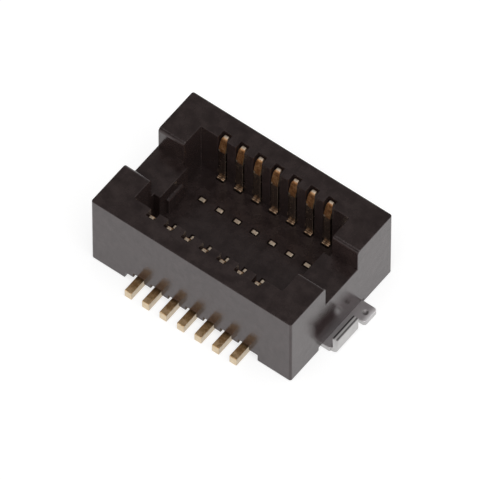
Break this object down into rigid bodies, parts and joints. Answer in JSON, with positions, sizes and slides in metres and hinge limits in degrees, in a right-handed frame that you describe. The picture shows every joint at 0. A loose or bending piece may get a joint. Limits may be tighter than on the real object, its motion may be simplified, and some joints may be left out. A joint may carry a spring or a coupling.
{
  "type": "rectangular connector",
  "caption": "Surface-mount board-to-board header: open black shroud, rows of gold contacts in its long walls, straight solder tails and a tinned hold-down tab at either end.",
  "frame": {"origin": "centre of the footprint on the circuit board's surface, z = 0", "axes": "+Z away from the board towards the mating side, +X along the contact rows, front row on -Y"},
  "size_m": [0.0066, 0.0046, 0.0023],
  "materials": {
    "housing": "black moulded liquid-crystal polymer, fine satin",
    "contact": "gold plate on blanked copper alloy, cut edges slightly dull",
    "hold_down": "matt tin plate on folded copper alloy sheet"
  },
  "bodies": {
    "root": {"housing": "housing", "contact_front_1": "contact", "contact_front_2": "contact", "contact_front_3": "contact", "contact_front_4": "contact", "contact_front_5": "contact", "contact_front_6": "contact", "contact_front_7": "contact", "contact_rear_1": "contact", "contact_rear_2": "contact", "contact_rear_3": "contact", "contact_rear_4": "contact", "contact_rear_5": "contact", "contact_rear_6": "contact", "contact_rear_7": "contact", "hold_down_left": "hold_down", "hold_down_right": "hold_down"}
  },
  "joints": []
}
